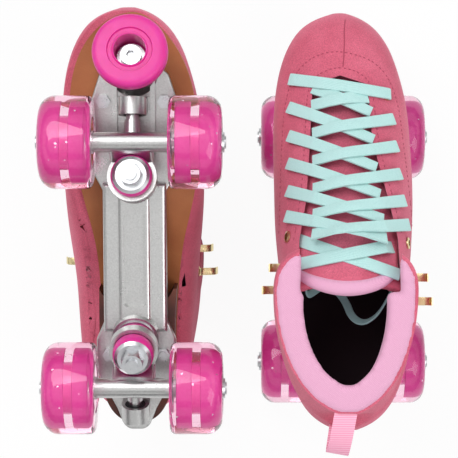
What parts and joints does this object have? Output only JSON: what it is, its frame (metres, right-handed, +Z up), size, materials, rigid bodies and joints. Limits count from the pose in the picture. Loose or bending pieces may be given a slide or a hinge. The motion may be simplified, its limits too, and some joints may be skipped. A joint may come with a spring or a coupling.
{
  "type": "quad roller skates",
  "caption": "High-top suede quad roller skates with aluminium plates, steering trucks, clear urethane wheels and toe stops, shown upright and turned over.",
  "frame": {"origin": "centre of the overall box, on the ground that the pair stands on", "axes": "+Z up, +Y towards the toes of both skates, +X towards the outer side of the right skate"},
  "size_m": [0.2548, 0.2862, 0.2186],
  "materials": {
    "suede": "napped suede",
    "lining_fabric": "brushed knit",
    "lace_cotton": "flat woven",
    "eyelet_brass": "polished",
    "webbing": "ribbed webbing",
    "insole_fabric": "felt",
    "sole_leather": "waxed",
    "heel_leather": "stacked",
    "cast_aluminium": "polished",
    "zinc_steel": "zinc plated",
    "stop_rubber": "satin",
    "cushion_urethane": "satin",
    "wheel_urethane": "clear cast",
    "hub_nylon": "moulded"
  },
  "bodies": {
    "right_boot": {"right_upper": "suede", "right_collar_lining": "lining_fabric", "right_tongue": "suede", "right_laces": "lace_cotton", "right_eyelets": "eyelet_brass", "right_lace_hooks": "eyelet_brass", "right_pull_loop": "webbing", "right_footbed": "insole_fabric", "right_outsole": "sole_leather", "right_heel": "heel_leather", "right_plate": "cast_aluminium", "right_mounting_bolts": "zinc_steel", "right_toe_stop": "stop_rubber", "right_toe_stop_bolt": "zinc_steel", "right_kingpins": "zinc_steel", "right_front_cushions": "cushion_urethane", "right_rear_cushions": "cushion_urethane", "right_lace_tail": "lace_cotton"},
    "right_front_truck": {"right_front_hanger": "cast_aluminium", "right_front_axle": "zinc_steel"},
    "right_front_inner_wheel": {"right_front_inner_tyre": "wheel_urethane", "right_front_inner_hub": "hub_nylon"},
    "right_front_outer_wheel": {"right_front_outer_tyre": "wheel_urethane", "right_front_outer_hub": "hub_nylon"},
    "right_rear_truck": {"right_rear_hanger": "cast_aluminium", "right_rear_axle": "zinc_steel"},
    "right_rear_inner_wheel": {"right_rear_inner_tyre": "wheel_urethane", "right_rear_inner_hub": "hub_nylon"},
    "right_rear_outer_wheel": {"right_rear_outer_tyre": "wheel_urethane", "right_rear_outer_hub": "hub_nylon"},
    "left_boot": {"left_upper": "suede", "left_collar_lining": "lining_fabric", "left_tongue": "suede", "left_laces": "lace_cotton", "left_eyelets": "eyelet_brass", "left_lace_hooks": "eyelet_brass", "left_pull_loop": "webbing", "left_footbed": "insole_fabric", "left_outsole": "sole_leather", "left_heel": "heel_leather", "left_plate": "cast_aluminium", "left_mounting_bolts": "zinc_steel", "left_toe_stop": "stop_rubber", "left_toe_stop_bolt": "zinc_steel", "left_kingpins": "zinc_steel", "left_front_cushions": "cushion_urethane", "left_rear_cushions": "cushion_urethane", "left_lace_tail": "lace_cotton"},
    "left_front_truck": {"left_front_hanger": "cast_aluminium", "left_front_axle": "zinc_steel"},
    "left_front_inner_wheel": {"left_front_inner_tyre": "wheel_urethane", "left_front_inner_hub": "hub_nylon"},
    "left_front_outer_wheel": {"left_front_outer_tyre": "wheel_urethane", "left_front_outer_hub": "hub_nylon"},
    "left_rear_truck": {"left_rear_hanger": "cast_aluminium", "left_rear_axle": "zinc_steel"},
    "left_rear_inner_wheel": {"left_rear_inner_tyre": "wheel_urethane", "left_rear_inner_hub": "hub_nylon"},
    "left_rear_outer_wheel": {"left_rear_outer_tyre": "wheel_urethane", "left_rear_outer_hub": "hub_nylon"}
  },
  "joints": [
    {"name": "right_front_truck_steer", "type": "hinge", "parent": "right_boot", "child": "right_front_truck", "pos_m": [0.0685, 0.04038, 0.038], "axis": [0, 0.9715, 0.2368], "range_deg": [-8, 8], "stiffness_Nm_per_rad": 25, "deforming": ["right_front_cushions"]},
    {"name": "right_front_inner_wheel_spin", "type": "hinge", "parent": "right_front_truck", "child": "right_front_inner_wheel", "pos_m": [0.0285, 0.06338, 0.029], "axis": [1, 0, 0], "continuous": true},
    {"name": "right_front_outer_wheel_spin", "type": "hinge", "parent": "right_front_truck", "child": "right_front_outer_wheel", "pos_m": [0.1085, 0.06338, 0.029], "axis": [1, 0, 0], "continuous": true},
    {"name": "right_rear_truck_steer", "type": "hinge", "parent": "right_boot", "child": "right_rear_truck", "pos_m": [0.0685, -0.06962, 0.038], "axis": [0, -0.9715, 0.2368], "range_deg": [-8, 8], "stiffness_Nm_per_rad": 25, "deforming": ["right_rear_cushions"]},
    {"name": "right_rear_inner_wheel_spin", "type": "hinge", "parent": "right_rear_truck", "child": "right_rear_inner_wheel", "pos_m": [0.0285, -0.09262, 0.029], "axis": [1, 0, 0], "continuous": true},
    {"name": "right_rear_outer_wheel_spin", "type": "hinge", "parent": "right_rear_truck", "child": "right_rear_outer_wheel", "pos_m": [0.1085, -0.09262, 0.029], "axis": [1, 0, 0], "continuous": true},
    {"name": "left_front_truck_steer", "type": "hinge", "parent": "left_boot", "child": "left_front_truck", "pos_m": [-0.0685, 0.03179, 0.17699], "axis": [0, 0.997, -0.077], "range_deg": [-8, 8], "stiffness_Nm_per_rad": 25, "deforming": ["left_front_cushions"]},
    {"name": "left_front_inner_wheel_spin", "type": "hinge", "parent": "left_front_truck", "child": "left_front_inner_wheel", "pos_m": [-0.1085, 0.05304, 0.18958], "axis": [1, 0, 0], "continuous": true},
    {"name": "left_front_outer_wheel_spin", "type": "hinge", "parent": "left_front_truck", "child": "left_front_outer_wheel", "pos_m": [-0.0285, 0.05304, 0.18958], "axis": [1, 0, 0], "continuous": true},
    {"name": "left_rear_truck_steer", "type": "hinge", "parent": "left_boot", "child": "left_rear_truck", "pos_m": [-0.0685, -0.07677, 0.15924], "axis": [0, -0.9206, -0.3905], "range_deg": [-8, 8], "stiffness_Nm_per_rad": 25, "deforming": ["left_rear_cushions"]},
    {"name": "left_rear_inner_wheel_spin", "type": "hinge", "parent": "left_rear_truck", "child": "left_rear_inner_wheel", "pos_m": [-0.1085, -0.10092, 0.16441], "axis": [1, 0, 0], "continuous": true},
    {"name": "left_rear_outer_wheel_spin", "type": "hinge", "parent": "left_rear_truck", "child": "left_rear_outer_wheel", "pos_m": [-0.0285, -0.10092, 0.16441], "axis": [1, 0, 0], "continuous": true},
    {"name": "left_skate_lift", "type": "slide", "parent": "right_boot", "child": "left_boot", "axis": [0, 0, 1], "range_m": [0, 0.2]}
  ]
}
